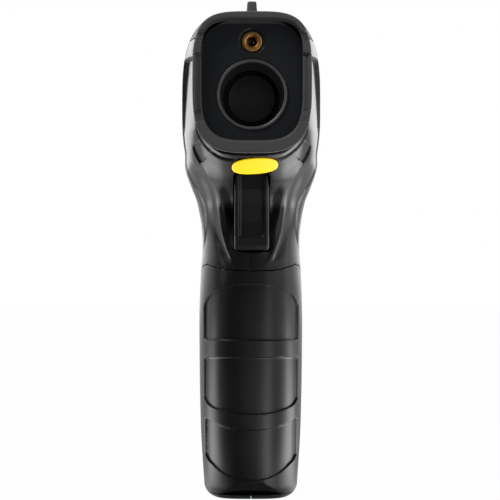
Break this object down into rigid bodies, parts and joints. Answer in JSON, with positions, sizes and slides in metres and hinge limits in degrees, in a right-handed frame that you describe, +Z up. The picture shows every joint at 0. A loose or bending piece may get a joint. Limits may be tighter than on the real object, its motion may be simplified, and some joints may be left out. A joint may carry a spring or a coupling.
{
  "type": "infrared thermometer",
  "caption": "Pistol-shaped infrared thermometer: lens and laser in a hooded front, trigger, rear display with keys, battery door in the grip.",
  "frame": {"origin": "centre of the bounding box's bottom face, on the plane that the grip's base stands on", "axes": "+Z up, the lens and laser look along -Y, +X is the operator's left"},
  "size_m": [0.0458, 0.0999, 0.1622],
  "materials": {
    "shell_plastic": "moulded black ABS, semi-gloss",
    "trim_plastic": "moulded dark grey plastic, fine matt grain",
    "panel_acrylic": "polished smoked acrylic",
    "tube_plastic": "matt black moulding",
    "ring_metal": "black anodised",
    "lens_glass": "dark coated infrared lens",
    "sensor_metal": "nickel-plated can",
    "circuit_board": "green solder mask",
    "brass": "turned brass",
    "clear_lens": "small clear lens",
    "black_plastic": "black moulding",
    "display_acrylic": "smoked window",
    "lcd_glass": "reflective display glass",
    "white_plastic": "white light guide",
    "button_rubber": "soft dark keys",
    "switch_metal": "tin-plated switch frame",
    "trigger_plastic": "moulded black ABS, semi-gloss",
    "steel": "bright steel",
    "red_plastic": "red moulding",
    "battery_case": "printed metal jacket",
    "lead_red": "PVC insulation",
    "lead_black": "PVC insulation",
    "label_yellow": "printed yellow film"
  },
  "bodies": {
    "housing": {"left_shell": "shell_plastic", "right_shell": "shell_plastic", "front_bezel": "trim_plastic", "front_panel": "panel_acrylic", "lens_tube": "tube_plastic", "lens_ring": "ring_metal", "infrared_lens": "lens_glass", "thermopile_sensor": "sensor_metal", "sensor_board": "circuit_board", "laser_module": "brass", "laser_lens": "clear_lens", "laser_holder": "black_plastic", "top_cover": "trim_plastic", "rear_bezel": "trim_plastic", "display_window": "display_acrylic", "lcd": "lcd_glass", "backlight": "white_plastic", "main_board": "circuit_board", "key_switch_1": "switch_metal", "key_switch_2": "switch_metal", "key_switch_3": "switch_metal", "buzzer": "black_plastic", "trigger_pin": "steel", "trigger_spring": "steel", "micro_switch": "black_plastic", "battery": "battery_case", "snap_connector": "black_plastic", "battery_lead_positive": "lead_red", "battery_lead_negative": "lead_black", "door_hinge_pin": "steel", "shell_screw_1": "steel", "shell_screw_2": "steel", "shell_screw_3": "steel", "shell_screw_4": "steel", "shell_screw_5": "steel", "lens_label": "label_yellow"},
    "trigger": {"trigger": "trigger_plastic"},
    "plunger": {"switch_plunger": "red_plastic"},
    "laser_button": {"laser_button": "button_rubber"},
    "mode_button": {"mode_button": "button_rubber"},
    "unit_button": {"unit_button": "button_rubber"},
    "battery_door": {"battery_door": "shell_plastic"}
  },
  "joints": [
    {"name": "trigger_pull", "type": "hinge", "parent": "housing", "child": "trigger", "pos_m": [0, -0.0235, 0.1082], "axis": [1, 0, 0], "range_deg": [0, 6], "stiffness_Nm_per_rad": 0.3, "springref_deg": -5.73, "deforming": ["trigger_spring"]},
    {"name": "plunger_press", "type": "slide", "parent": "housing", "child": "plunger", "axis": [0, 1, 0], "range_m": [0, 0.00075]},
    {"name": "laser_button_press", "type": "slide", "parent": "housing", "child": "laser_button", "axis": [0, -0.9505, -0.3107], "range_m": [0, 0.0008], "stiffness_N_per_m": 500, "springref_m": -0.001},
    {"name": "mode_button_press", "type": "slide", "parent": "housing", "child": "mode_button", "axis": [0, -0.9505, -0.3107], "range_m": [0, 0.0008], "stiffness_N_per_m": 500, "springref_m": -0.001},
    {"name": "unit_button_press", "type": "slide", "parent": "housing", "child": "unit_button", "axis": [0, -0.9505, -0.3107], "range_m": [0, 0.0008], "stiffness_N_per_m": 500, "springref_m": -0.001},
    {"name": "door_swing", "type": "hinge", "parent": "housing", "child": "battery_door", "pos_m": [0, -0.0009, 0.0062], "axis": [1, 0, 0], "range_deg": [0, 68]}
  ],
  "couplings": [
    {"joint": "plunger_press", "follows": "trigger_pull", "m_per_rad": 0.0067}
  ]
}
